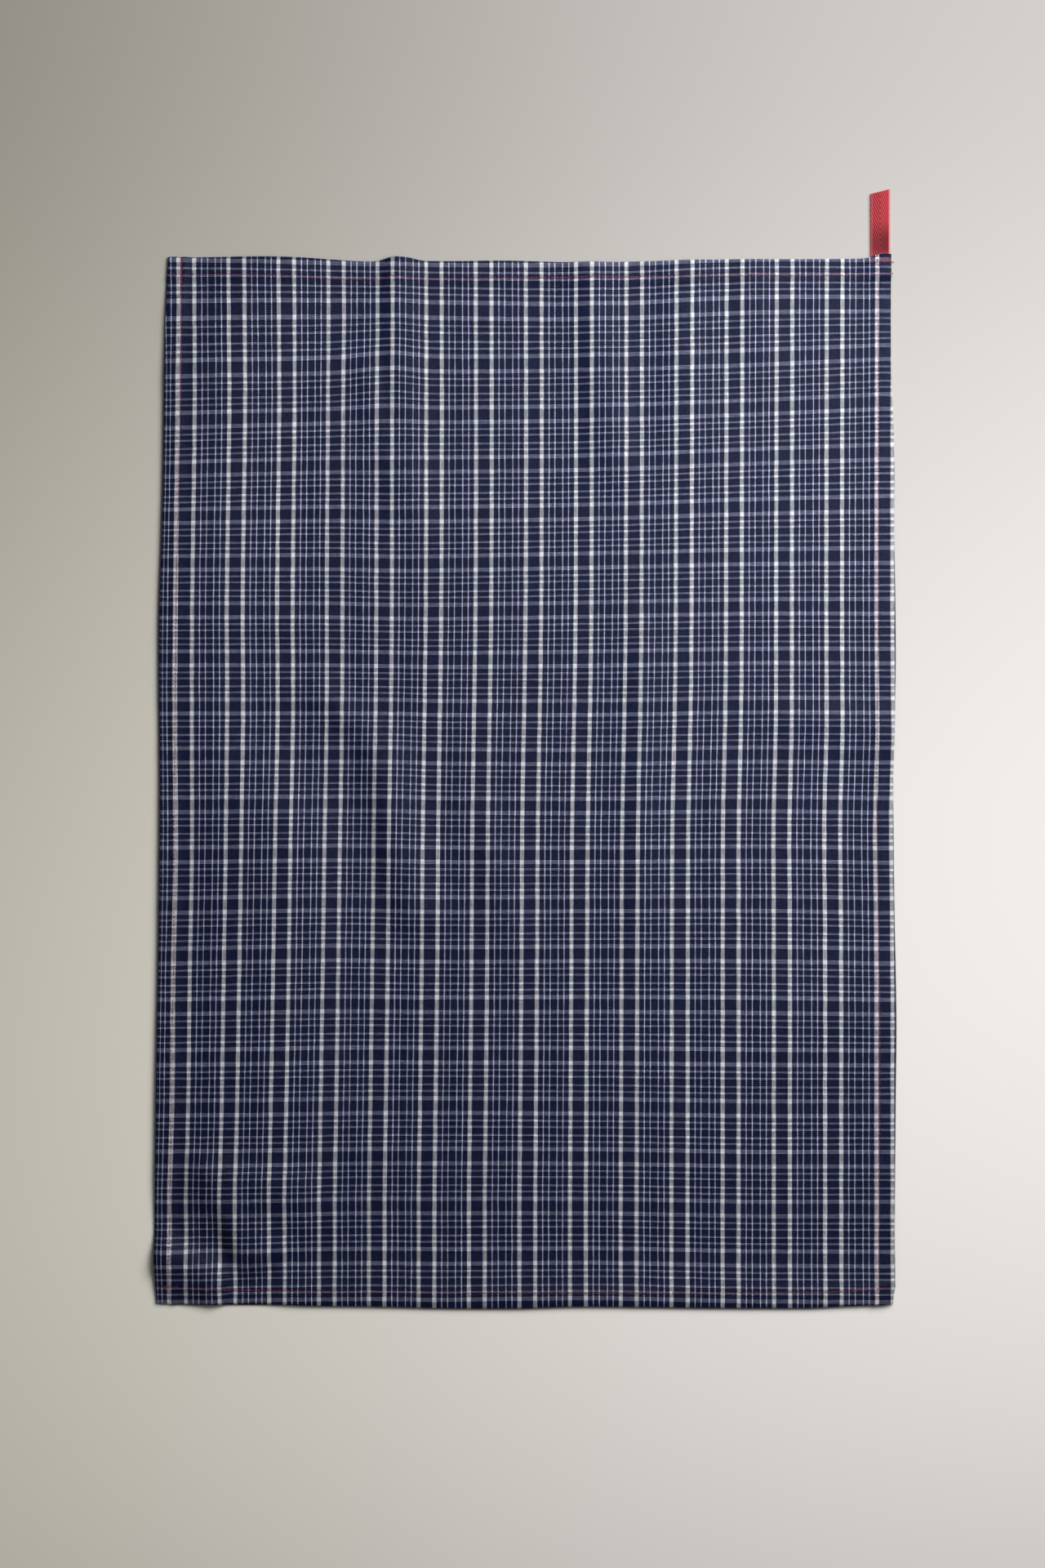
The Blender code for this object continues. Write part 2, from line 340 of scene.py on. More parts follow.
# Nine picks, by the Y at which each would lie in true, with how far above it they lie across the towel.
FOLLOWED_PICKS: Followed = {
    -368: wandering((-236, -3), (-110, -1), (-60, -1.5), (50, -0.5), (150, -2.5), (238, -3)),
    -250: wandering((-236, -1.5), (-90, 0), (50, -0.5), (150, -2), (238, -2)),
    -130: wandering((-236, 1), (-130, 3), (-60, 2), (50, 2.5), (150, 2.5), (238, 1)),
    -10: wandering((-236, 2.5), (-90, 3), (-60, 2), (50, 1.5), (150, 3), (238, 2.5)),
    110: wandering((-236, -1), (-130, -0.5), (-90, -1.5), (-60, -1.5), (50, 0.5), (150, 2.5), (238, 3)),
    200: wandering((-236, -6), (-130, -2.5), (-60, -2), (50, -0.5), (150, 3.5), (238, 6.5)),
    255: wandering((-236, -4.5), (-130, -2), (-90, 1), (-60, -1), (50, 0), (150, 3), (238, 7)),
    300: wandering((-236, 3), (-90, 3.5), (-60, 2.5), (50, 1.5), (150, 5.5), (238, 6)),
    325: wandering((-236, 7), (-90, 4), (50, 4), (150, 7), (238, 7)),
}


@dataclass
class ThreadCount:
    """Numbers the threads: ends run up the towel and count from the left, picks count down it."""

    first_end_x: float = -234.6
    first_pick_y: float = 297.45
    end_pitch: float = 0.655
    pick_pitch: float = 0.6893
    roll_reach: float = 5.0
    roll_shift: float = 1.2
    crowd_shift: float = 1.1
    crowd_middle: float = 7.0
    crowd_reach: float = 9.0
    crowd_top: float = 300.0
    crowd_fade: float = 60.0

    @staticmethod
    def drift(followed: Followed, across: float, along: float) -> float:
        """How far the threads lie out of true at a point, from those that were followed.

        Args:
            followed: the threads that were followed, in order.
            across: the distance square to them.
            along: the distance along them.

        Returns:
            The drift there.
        """
        level = [EdgePoint(place, line_at(drift, along)) for place, drift in followed.items()]
        return line_at(level, across)

    def crowding(self, x: float, y: float) -> float:
        """How far the ends shift where the left side rolls down and they crowd together."""
        inward = x - line_at(LEFT_EDGE, y)
        rolled = self.roll_shift * smooth_step(1.0 - inward / self.roll_reach)
        crowded = self.crowd_shift * hump(inward - self.crowd_middle, self.crowd_reach)
        return (rolled - crowded) * smooth_step((self.crowd_top - y) / self.crowd_fade)

    def at(self, x: float, y: float) -> tuple[float, float]:
        """The end and the pick that cross at a lying point, as numbers with fractions."""
        drifted = self.drift(FOLLOWED_ENDS, x, y) + self.crowding(x, y)
        end = (x - self.first_end_x - drifted) / self.end_pitch
        pick = (self.first_pick_y + self.drift(FOLLOWED_PICKS, y, x) - y) / self.pick_pitch
        return end, pick


# ----------------------------------------
# Node trees


class Graph:
    """Adds nodes to one node tree and joins them."""

    def __init__(self, tree: bpy.types.NodeTree) -> None:
        """Work on one tree."""
        self.tree = tree

    def add(self, kind: str, **settings: object) -> Node:
        """Add a node and set its own properties."""
        node = self.tree.nodes.new(kind)
        for name, value in settings.items():
            setattr(node, name, value)
        return node

    def feed(self, socket: Socket, value: object) -> None:
        """Link a socket to another, or set its value."""
        if isinstance(value, Socket):
            self.tree.links.new(value, socket)
        elif isinstance(value, tuple) and len(value) == 3 and socket.type == "RGBA":
            socket.default_value = (*value, 1.0)
        else:
            socket.default_value = value

    def math(self, operation: str, *values: object) -> Socket:
        """A Math node on one to three values."""
        node = self.add("ShaderNodeMath", operation=operation)
        for socket, value in zip(node.inputs, values):
            self.feed(socket, value)
        return node.outputs[0]

    def plus(self, first: object, second: object) -> Socket:
        """The sum of two values."""
        return self.math("ADD", first, second)

    def minus(self, first: object, second: object) -> Socket:
        """The first value less the second."""
        return self.math("SUBTRACT", first, second)

    def times(self, first: object, second: object) -> Socket:
        """The product of two values."""
        return self.math("MULTIPLY", first, second)

    def ease(self, value: object, low: float, high: float) -> Socket:
        """Run a value smoothly from 0 at low to 1 at high."""
        node = self.add("ShaderNodeMapRange", interpolation_type="SMOOTHSTEP")
        for socket, given in zip(node.inputs, (value, low, high, 0.0, 1.0)):
            self.feed(socket, given)
        return node.outputs[0]

    def spread(self, value: object, low: float, high: float) -> Socket:
        """Run a value from 0 to 1 evenly over low to high."""
        node = self.add("ShaderNodeMapRange")
        for socket, given in zip(node.inputs, (value, 0.0, 1.0, low, high)):
            self.feed(socket, given)
        return node.outputs[0]

    def blend(self, share: object, first: object, second: object, how: str = "MIX") -> Socket:
        """Mix two colours."""
        node = self.add("ShaderNodeMix", data_type="RGBA", blend_type=how)
        self.feed(node.inputs[0], share)
        self.feed(node.inputs[6], first)
        self.feed(node.inputs[7], second)
        return node.outputs[2]

    def scaled(self, colour: object, amount: object) -> Socket:
        """A colour made lighter or darker by a value."""
        node = self.add("ShaderNodeVectorMath", operation="SCALE")
        self.feed(node.inputs[0], colour)
        self.feed(node.inputs["Scale"], amount)
        return node.outputs[0]

    def joined(self, x: object, y: object, z: object = 0.0) -> Socket:
        """A vector of three values."""
        node = self.add("ShaderNodeCombineXYZ")
        for socket, value in zip(node.inputs, (x, y, z)):
            self.feed(socket, value)
        return node.outputs[0]

    def parted(self, vector: Socket) -> tuple[Socket, Socket, Socket]:
        """The three values of a vector."""
        node = self.add("ShaderNodeSeparateXYZ")
        self.feed(node.inputs[0], vector)
        return node.outputs[0], node.outputs[1], node.outputs[2]

    def place(self) -> Socket:
        """The place on the piece, in metres."""
        return self.add("ShaderNodeTexCoord").outputs["Object"]

    def uv(self, name: str) -> tuple[Socket, Socket]:
        """The two values of a UV map."""
        node = self.add("ShaderNodeUVMap", uv_map=name)
        across, along, _ = self.parted(node.outputs[0])
        return across, along

    def grain(self, vector: object, scale: object, detail: float = 2.0) -> Socket:
        """Noise, 0 to 1."""
        node = self.add("ShaderNodeTexNoise")
        for name, value in (("Vector", vector), ("Scale", scale), ("Detail", detail)):
            self.feed(node.inputs[name], value)
        return node.outputs[0]

    def chance(self, first: object, second: object = 0.0) -> Socket:
        """A random value, 0 to 1, for each pair of numbers."""
        node = self.add("ShaderNodeTexWhiteNoise", noise_dimensions="2D")
        self.feed(node.inputs["Vector"], self.joined(first, second))
        return node.outputs["Value"]

    def group(self, tree: bpy.types.NodeTree, **values: object) -> Node:
        """Place a node group and feed its inputs, whose names have spaces for underscores."""
        node = self.add("ShaderNodeGroup", node_tree=tree)
        for name, value in values.items():
            self.feed(node.inputs[name.replace("_", " ")], value)
        return node


class Surface(NamedTuple):
    """A material's surface.

    roughness, sheen and glint are how it meets the light, fibre is the thickness of its fibres in
    mm, uneven how unevenly they took the dye, depth how deep its fine relief is in mm and relief
    how strongly that shows. The last four stay 0 where a material has no fibres or no relief.
    """

    roughness: float
    sheen: float
    glint: float
    fibre: float = 0.0
    uneven: float = 0.0
    depth: float = 0.0
    relief: float = 0.0


class CottonFibre:
    """The node group of cotton's own surface: its uneven dye and its raised fibres."""

    DYE_SCALE = 14.0
    DYE_SHARE = 0.6
    DETAIL = 3.0
    tree: bpy.types.NodeTree | None = None

    @classmethod
    def group(cls) -> bpy.types.NodeTree:
        """The group, built once: Tint, about 1, and Height, 0 to 1."""
        if cls.tree is not None:
            return cls.tree
        cls.tree = bpy.data.node_groups.new("cotton_fibre", "ShaderNodeTree")
        for name, way, kind in (
            ("Place", "INPUT", "Vector"), ("Fibre Size", "INPUT", "Float"), ("Unevenness", "INPUT", "Float"),
            ("Tint", "OUTPUT", "Float"), ("Height", "OUTPUT", "Float"),
        ):
            cls.tree.interface.new_socket(name=name, in_out=way, socket_type="NodeSocket" + kind)
        graph = Graph(cls.tree)
        given = graph.add("NodeGroupInput").outputs
        result = graph.add("NodeGroupOutput").inputs
        dye = graph.grain(given["Place"], cls.DYE_SCALE, cls.DETAIL)
        fibres = graph.grain(given["Place"], graph.math("DIVIDE", 1.0, given["Fibre Size"]), cls.DETAIL)
        both = graph.plus(graph.times(dye, cls.DYE_SHARE), graph.times(fibres, 1.0 - cls.DYE_SHARE))
        swing = graph.times(graph.minus(both, 0.5), given["Unevenness"])
        graph.feed(result["Tint"], graph.plus(1.0, swing))
        graph.feed(result["Height"], fibres)
        return cls.tree


class Dressing:
    """One material in the making: its graph, its shader's inputs and its surface."""

    SHEEN_ROUGHNESS = 0.6

    def __init__(self, name: str, surface: Surface) -> None:
        """Start a material and set what is the same all over it."""
        self.surface = surface
        self.material = bpy.data.materials.new(name)
        self.material.use_nodes = True
        self.graph = Graph(self.material.node_tree)
        self.inputs = self.material.node_tree.nodes["Principled BSDF"].inputs
        self.inputs["Roughness"].default_value = surface.roughness
        self.inputs["Specular IOR Level"].default_value = surface.glint
        self.inputs["Sheen Weight"].default_value = surface.sheen
        self.inputs["Sheen Roughness"].default_value = self.SHEEN_ROUGHNESS

    def colour(self, colour: Socket) -> None:
        """Feed the colour."""
        self.graph.feed(self.inputs["Base Color"], colour)

    def fibred(self, colour: Socket) -> Socket:
        """Feed the colour by way of the cotton's fibres, and give back their height, 0 to 1."""
        size, uneven = self.surface.fibre * MM, self.surface.uneven
        place = self.graph.place()
        fibre = self.graph.group(CottonFibre.group(), Place=place, Fibre_Size=size, Unevenness=uneven)
        self.colour(self.graph.scaled(colour, fibre.outputs["Tint"]))
        return fibre.outputs["Height"]

    def relief(self, height: Socket) -> None:
        """Feed the fine relief from its height, 0 to 1."""
        node = self.graph.add("ShaderNodeBump")
        depth, strength = self.surface.depth * MM, self.surface.relief
        for name, value in (("Strength", strength), ("Distance", depth), ("Height", height)):
            self.graph.feed(node.inputs[name], value)
        self.graph.feed(self.inputs["Normal"], node.outputs[0])


class Yarn(Enum):
    """The yarns of the check: how light each one is, and how blue."""

    WHITE = (1.0, 0.0)
    COOL = (1.0, 0.3)
    PALE = (1.0, 1.0)
    NAVY = (0.0, 0.0)


class Stripe(NamedTuple):
    """A run of threads of one yarn."""

    threads: int
    yarn: Yarn


def repeat_of(broad: Yarn, *counts: int) -> tuple[Stripe, ...]:
    """A repeat from its counts, in which light and navy take turns.

    Args:
        broad: the yarn of the light stripes of two threads or more; single light threads are pale.
        counts: the threads of each stripe, from a light one on.

    Returns:
        The stripes.
    """
    return tuple(
        Stripe(count, Yarn.NAVY if index % 2 else Yarn.PALE if count == 1 else broad)
        for index, count in enumerate(counts)
    )


@dataclass(frozen=True)
class CheckedCotton:
    """The cloth's finish: a plain weave of navy and white yarn, warp and weft in the check's order."""

    warp: tuple[Stripe, ...] = repeat_of(Yarn.WHITE, 4, 12, 4, 5, 1, 5, 1, 7, 1, 5, 1, 5)
    weft: tuple[Stripe, ...] = repeat_of(Yarn.COOL, 4, 10, 4, 4, 2, 4, 2, 6, 2, 4, 2, 4)
    white: Color = (0.695, 0.696, 0.702)
    pale: Color = (0.57, 0.605, 0.765)
    teal_navy: Color = (0.004, 0.0142, 0.058)
    purple_navy: Color = (0.0088, 0.0122, 0.064)
    own_dye: tuple[float, float] = (0.86, 1.1)
    slub: float = 0.25
    slub_length: float = 0.06
    slub_apart: float = 7.3
    navy_fleck: float = 0.6
    white_fleck: float = 0.2
    sway: float = 0.45
    sway_across: float = 0.25
    sway_along: float = 0.05
    warp_half_width: float = 0.84
    warp_half_length: float = 0.64
    weft_half_length: float = 0.69
    weft_half_width: float = 0.24
    weft_rise: float = 0.6
    uneven_beat: float = 0.3
    soft_edge: float = 0.25
    gap_shade_gain: float = 1.25
    fuzz: float = 0.25
    warp_seed: float = 11.5
    weft_seed: float = 743.5
    pick_sway_seed: float = 5.0
    surface: Surface = Surface(0.5, 0.0, 0.12, fibre=0.12, uneven=0.25, depth=0.12, relief=0.5)

    @staticmethod
    def stripes(graph: Graph, thread: Socket, order: tuple[Stripe, ...]) -> tuple[Socket, Socket]:
        """How light a thread is and how blue, from its number: 0 or 1."""
        total = sum(stripe.threads for stripe in order)
        inside = graph.math("FLOORED_MODULO", thread, float(total))
        ramp = graph.add("ShaderNodeValToRGB")
        ramp.color_ramp.interpolation = "CONSTANT"
        elements = ramp.color_ramp.elements
        elements.remove(elements[1])
        start = 0
        for index, stripe in enumerate(order):
            element = elements[0] if index == 0 else elements.new(start / total)
            element.position = start / total
            element.color = (*stripe.yarn.value, 0.0, 1.0)
            start += stripe.threads
        graph.feed(ramp.inputs[0], graph.math("DIVIDE", graph.plus(inside, 0.5), float(total)))
        light, blue, _ = graph.parted(ramp.outputs[0])
        return light, blue

    @staticmethod
    def flecked(graph: Graph, colour: Socket, fleck: Socket, strength: float) -> Socket:
        """A colour made lighter or darker from crossing to crossing."""
        return graph.scaled(colour, graph.spread(fleck, 1.0 - strength, 1.0 + strength))

    def yarn(
        self, graph: Graph, thread: Socket, along: Socket, order: tuple[Stripe, ...], seed: float
    ) -> Socket:
        """The colour of the yarn of one thread, with its own dye and its light and dark places.

        Args:
            graph: the material's graph.
            thread: the thread's number.
            along: the number of the threads that it has crossed.
            order: the repeat that it belongs to.
            seed: tells the warp's chances from the weft's.

        Returns:
            The colour.
        """
        light, blue = self.stripes(graph, thread, order)
        own = graph.chance(graph.plus(thread, seed))
        run = graph.joined(graph.times(thread, self.slub_apart), graph.times(along, self.slub_length), seed)
        slub = graph.spread(graph.grain(run, 1.0), -self.slub, self.slub)
        tint = graph.plus(graph.spread(own, *self.own_dye), slub)
        fleck = graph.chance(thread, graph.plus(graph.math("FLOOR", along), seed))
        navy = graph.blend(fleck, self.teal_navy, self.purple_navy)
        white = graph.blend(blue, self.white, self.pale)
        navy = self.flecked(graph, navy, fleck, self.navy_fleck)
        white = self.flecked(graph, white, fleck, self.white_fleck)
        return graph.scaled(graph.blend(light, navy, white), tint)

    @staticmethod
    def bulge(graph: Graph, across: Socket, half: float, along: Socket, reach: Socket) -> Socket:
        """One thread's visible bulge: 1 on its middle, below 0 outside its oval."""
        sizes = ((across, half), (along, reach))
        wide, long = (graph.math("POWER", graph.math("DIVIDE", part, size), 2.0) for part, size in sizes)
        return graph.minus(graph.minus(1.0, wide), long)

    def material(self) -> bpy.types.Material:
        """Build the material. It reads the thread_count UV map: u counts ends, v counts picks."""
        cotton = Dressing("checked_cotton", self.surface)
        graph = cotton.graph
        ends, picks = graph.uv("thread_count")
        # The threads wander from their even places, quickly across them and slowly along them.
        wide, long = self.sway_across, self.sway_along
        end_sway = graph.joined(graph.times(ends, wide), graph.times(picks, long))
        pick_sway = graph.joined(graph.times(ends, long), graph.times(picks, wide), self.pick_sway_seed)
        ends, picks = (
            graph.plus(count, graph.spread(graph.grain(wander, 1.0), -self.sway, self.sway))
            for count, wander in ((ends, end_sway), (picks, pick_sway))
        )
        end, pick = graph.math("FLOOR", ends), graph.math("FLOOR", picks)
        warp = self.yarn(graph, end, picks, self.warp, self.warp_seed)
        weft = self.yarn(graph, pick, ends, self.weft, self.weft_seed)

        # Along each end, the place within two picks: 0 where the end lies on top, 1 where it dives.
        halves = graph.times(graph.plus(graph.minus(picks, 0.5), end), 0.5)
        off_top = graph.math("ABSOLUTE", graph.minus(halves, graph.math("ROUND", halves)))
        dive = graph.times(off_top, 2.0)
        aside = graph.math("ABSOLUTE", graph.minus(graph.times(graph.math("FRACT", ends), 2.0), 1.0))

        beat = graph.spread(graph.chance(end, pick), 1.0 - self.uneven_beat, 1.0 + self.uneven_beat)
        warp_reach = graph.times(beat, self.warp_half_length)
        weft_reach = graph.times(beat, self.weft_half_width)
        warp_bulge = self.bulge(graph, aside, self.warp_half_width, dive, warp_reach)
        weft_bulge = self.bulge(graph, aside, self.weft_half_length, graph.minus(1.0, dive), weft_reach)

        # The gaps between the threads take painted shade: there the colours of warp and weft multiply.
        gap_shade = graph.scaled(graph.blend(1.0, warp, weft, "MULTIPLY"), self.gap_shade_gain)
        colour = graph.blend(graph.ease(weft_bulge, 0.0, self.soft_edge), gap_shade, weft)
        colour = graph.blend(graph.ease(warp_bulge, 0.0, self.soft_edge), colour, warp)
        fibres = cotton.fibred(colour)

        raised_warp = graph.math("MAXIMUM", warp_bulge, 0.0)
        raised_weft = graph.times(graph.math("MAXIMUM", weft_bulge, 0.0), self.weft_rise)
        rise = graph.math("SQRT", graph.math("MAXIMUM", raised_warp, raised_weft))
        cotton.relief(graph.plus(rise, graph.times(fibres, self.fuzz)))
        return cotton.material


@dataclass(frozen=True)
class HerringboneTape:
    """The tape's finish: red cotton in a steep herringbone, with painted shade and painted highlights.

    Its sizes are in mm. shade_from and shade_to say where along the tape its painted shade comes in
    and goes out, each over a stretch.
    """

    red: Color = (0.435, 0.04, 0.053)
    valley_shade: Color = (0.085, 0.005, 0.01)
    selvedge_highlight: Color = (0.78, 0.21, 0.235)
    spine: float = 6.2
    rib_pitch: float = 1.5
    steepness: float = 2.4
    rib_edge: tuple[float, float] = (0.35, 0.8)
    weaker_past_spine: tuple[float, float] = (-1.0, 2.0)
    weaker_ribs: float = 0.45
    selvedge_edge: tuple[float, float] = (0.6, 1.4)
    left_selvedge: float = 0.3
    right_selvedge: float = 0.8
    painted_shade: float = 0.64
    shade_from: tuple[float, float] = (70.0, 86.0)
    shade_to: tuple[float, float] = (98.0, 91.0)
    shade_left: float = 0.7
    shade_across: tuple[float, float] = (4.0, 9.0)
    fuzz: float = 0.3
    surface: Surface = Surface(0.8, 0.08, 0.15, fibre=0.3, uneven=0.5, depth=0.2, relief=0.6)

    def material(self, width: float) -> bpy.types.Material:
        """Build the material. It reads the tape_mm UV map: u across the tape and v along it, in mm."""
        tape = Dressing("red_tape", self.surface)
        graph = tape.graph
        across, along = graph.uv("tape_mm")
        from_spine = graph.math("ABSOLUTE", graph.minus(across, self.spine))
        climb = graph.plus(along, graph.times(from_spine, self.steepness))
        rib = graph.math("FRACT", graph.math("DIVIDE", climb, self.rib_pitch * self.steepness))
        ridge = graph.math("SINE", graph.times(rib, math.pi))
        past_spine = graph.ease(across, *(self.spine + past for past in self.weaker_past_spine))
        weaker = graph.spread(past_spine, 0.0, self.weaker_ribs)
        shown = graph.math("MAXIMUM", graph.ease(ridge, *self.rib_edge), weaker)
        # The valleys between the ribs take painted shade.
        colour = graph.blend(shown, self.valley_shade, self.red)

        # A patch of painted shade low on the upper run, deeper across to the right.
        painted_shade = graph.times(graph.ease(along, *self.shade_from), graph.ease(along, *self.shade_to))
        side = graph.spread(graph.ease(across, *self.shade_across), self.shade_left, 1.0)
        darker = graph.spread(graph.times(painted_shade, side), 1.0, 1.0 - self.painted_shade)
        colour = graph.scaled(colour, darker)

        # A painted highlight along both selvedges, stronger on the right one, which faces the lamp.
        inner = graph.math("MINIMUM", across, graph.minus(width, across))
        edge = graph.minus(1.0, graph.ease(inner, *self.selvedge_edge))
        pale = graph.spread(graph.ease(across, 0.0, width), self.left_selvedge, self.right_selvedge)
        colour = graph.blend(graph.times(edge, pale), colour, self.selvedge_highlight)
        tape.relief(graph.plus(ridge, graph.times(tape.fibred(colour), self.fuzz)))
        return tape.material


@dataclass(frozen=True)
class SewingCotton:
    """The stitching's finish: a red thread of two twisted plies."""

    red: Color = (0.28, 0.02, 0.042)
    groove_shade: Color = (0.12, 0.008, 0.018)
    plies: float = 2.0
    twists: float = 5.0
    surface: Surface = Surface(0.6, 0.08, 0.2, fibre=0.1, uneven=0.4, depth=0.05, relief=0.5)

    def material(self) -> bpy.types.Material:
        """Build the material. It reads the thread_turn UV map: u round the thread and v along it."""
        thread = Dressing("red_thread", self.surface)
        graph = thread.graph
        around, along = graph.uv("thread_turn")
        twist = graph.plus(graph.times(around, self.plies), graph.times(along, self.twists))
        ply = graph.math("SINE", graph.times(graph.math("FRACT", twist), math.pi))
        # The grooves between the plies take painted shade.
        thread.fibred(graph.blend(ply, self.groove_shade, self.red))
        thread.relief(ply)
        return thread.material


@dataclass(frozen=True)
class FloorPaint:
    """The floor's finish: plain and pale, with painted shade deepening towards its far end, and warmer to
    the left.

    shade_run and warm_run are where along Y and X each change starts and ends, in metres.
    """

    colour: Color = (1.0, 0.962, 0.915)
    warm: Color = (0.985, 0.935, 0.795)
    far_shade: float = 0.4
    shade_run: tuple[float, float] = (-0.52, 0.5)
    warm_run: tuple[float, float] = (0.2, -0.5)
    cloud_scale: float = 3.0
    cloud: float = 0.015
    surface: Surface = Surface(0.9, 0.0, 0.1)

    def material(self) -> bpy.types.Material:
        """Build the material."""
        paint = Dressing("pale_floor", self.surface)
        graph = paint.graph
        place = graph.place()
        x, y, _ = graph.parted(place)
        # Painted shade that deepens towards the far end.
        floor_shade = graph.spread(graph.ease(y, *self.shade_run), 1.0, self.far_shade)
        cloud = graph.spread(graph.grain(place, self.cloud_scale), 1.0 - self.cloud, 1.0 + self.cloud)
        colour = graph.blend(graph.ease(x, *self.warm_run), self.colour, self.warm)
        paint.colour(graph.scaled(colour, graph.times(cloud, floor_shade)))
        return paint.material


# ----------------------------------------
# Meshes


def mesh_object(name: str, shape: Shape, material: bpy.types.Material) -> Object:
    """Turn a bmesh into a smooth-shaded object at the origin."""
    mesh = bpy.data.meshes.new(name)
    shape.to_mesh(mesh)
    shape.free()
    mesh.materials.append(material)
    mesh.shade_smooth()
    obj = bpy.data.objects.new(name, mesh)
    bpy.context.scene.collection.objects.link(obj)
    return obj


def grid_shape(columns: int, rows: int) -> tuple[Shape, list[list[Point]]]:
    """An open grid of faces and its points, in rows from the bottom left."""
    shape = bmesh.new()
    bmesh.ops.create_grid(shape, x_segments=columns - 1, y_segments=rows - 1, size=1.0)
    points = sorted(shape.verts, key=lambda point: (round(point.co.y, 5), round(point.co.x, 5)))
    return shape, [points[row * columns:(row + 1) * columns] for row in range(rows)]


def write_uv(shape: Shape, name: str, values: dict[Point, tuple[float, float]]) -> None:
    """Give each corner of each face its point's two values, as a UV map."""
    layer = shape.loops.layers.uv.new(name)
    for face in shape.faces:
        for loop in face.loops:
            loop[layer].uv = values[loop.vert]


def steps(start: float, end: float, longest: float) -> list[float]:
    """Even steps from start to end, both included, none over the longest."""
    count = max(1, math.ceil(abs(end - start) / longest))
    return [start + (end - start) * index / count for index in range(count + 1)]


class Station(NamedTuple):
    """One line of the folded cloth's grid: where it lies and how far the cloth has turned over.

    over is its distance from the first edge, turn the angle that the cloth has turned under, in
    radians, side -1 or 1 for the edge it turned at, and past its length of cloth from where it began
    to turn.
    """

    over: float
    turn: float = 0.0
    side: int = 0
    past: float = 0.0


@dataclass
class TowelCloth:
    """The cloth: one sheet whose four hems are folded under, the side hems first."""

    lie: Lie
    count: ThreadCount = field(default_factory=ThreadCount)
    thickness: float = 0.45
    layer_pitch: float = 0.9
    corner_pitch: float = 0.62
    left_hem: float = 11.6
    right_hem: float = 12.6
    top_hem: float = 14.0
    bottom_hem: float = 12.6
    hem_step: float = 2.6
    stitch_inset: float = 1.8
    pinch: float = 0.4
    pinch_reach: float = 2.0
    press: float = 0.35
    press_reach: float = 2.0
    pucker: float = 0.22
    pucker_length: float = 8.0
    pucker_inset: float = 1.0
    pucker_reach: float = 8.0
    pucker_slice: float = 9.1
    cell: float = 3.3
    under_cell: float = 2.4
    hem_cell: float = 1.9
    edge_cell: float = 2.0
    turn_steps: int = 5

    @property
    def inset(self) -> float:
        """How far inside the edge the cloth starts to turn under."""
        return (self.layer_pitch + self.thickness) / 2.0

    def stations(self, span: float, first_hem: float, last_hem: float) -> list[Station]:
        """Lines of the folded sheet across one span.

        Args:
            span: the lying cloth's width or length.
            first_hem: the hem's depth at the start of the span.
            last_hem: the hem's depth at its end.

        Returns:
            The stations from one cut edge of the sheet to the other.
        """
        first = self.hem_stations(first_hem)
        last = [
            Station(span - station.over, station.turn, 1, station.past)
            for station in reversed(self.hem_stations(last_hem))
        ]
        return first + [Station(over) for over in self.top_lines(span, first_hem, last_hem)] + last

    def hem_stations(self, hem: float) -> list[Station]:
        """Lines of a first hem's under layer and of its turn, from the cut edge to the upper layer."""
        radius = self.layer_pitch / 2.0
        arc = math.pi * radius
        under = reversed(steps(self.inset, hem, self.under_cell))
        turns = (math.pi * step / self.turn_steps for step in range(self.turn_steps - 1, 0, -1))
        return [Station(over, math.pi, -1, arc + over - self.inset) for over in under] + [
            Station(self.inset, turn, -1, radius * turn) for turn in turns
        ]

    def top_lines(self, span: float, first_hem: float, last_hem: float) -> list[float]:
        """Where the lines of the upper layer lie: close at the hems, even between them."""
        first = self.hem_lines(first_hem)
        last = [span - over for over in reversed(self.hem_lines(last_hem))]
        return first + steps(first[-1], last[0], self.cell)[1:-1] + last

    def hem_lines(self, hem: float) -> list[float]:
        """Lines of the upper layer over one hem, from its edge inwards."""
        seam = hem - self.stitch_inset
        step_down = [hem, hem + self.hem_step / 2.0, hem + self.hem_step]
        return [self.inset] + steps(self.edge_cell, seam, self.hem_cell) + step_down

    def hemmed(self, away: float, hem: float) -> float:
        """How much a hem lifts the cloth at a distance from its edge: 1 on it, 0 past its step."""
        return smooth_step(1.0 - (away - hem) / self.hem_step)

    def edges_from(self, over: float, up: float) -> tuple[tuple[float, float], ...]:
        """The distance to the left, right, bottom and top edge, each with the depth of its hem."""
        return (
            (over, self.left_hem), (self.lie.width - over, self.right_hem),
            (up, self.bottom_hem), (self.lie.length - up, self.top_hem),
        )

    def stack(self, over: float, up: float) -> tuple[float, float]:
        """The layers under a point of the cloth.

        Args:
            over: the distance from the left side.
            up: the distance from the bottom end.

        Returns:
            How many layers lie under the top one, and the pitch of the layers.
        """
        edges = self.edges_from(over, up)
        at_side = max(self.hemmed(away, hem) for away, hem in edges[:2])
        at_end = max(self.hemmed(away, hem) for away, hem in edges[2:])
        layers = (1.0 + at_side) * (1.0 + at_end) - 1.0
        crowd = min(max(layers - 1.0, 0.0) / 2.0, 1.0)
        pitch = self.layer_pitch + (self.corner_pitch - self.layer_pitch) * crowd
        seam = hump(self.from_seam(*self.lie.point(over, up)), self.pinch_reach)
        at_edge = smooth_step(1.0 - min(away for away, _ in edges) / self.press_reach)
        return layers, pitch * (1.0 - self.pinch * seam) * (1.0 - self.press * at_edge)

    @staticmethod
    def from_seam(x: float, y: float) -> float:
        """The distance from a lying point to the nearest row of stitching."""
        across = (line_at(LEFT_SEAM, y), line_at(RIGHT_SEAM, y))
        along = (line_at(BOTTOM_SEAM, x), line_at(TOP_SEAM, x))
        return min(min(abs(x - at) for at in across), min(abs(y - at) for at in along))

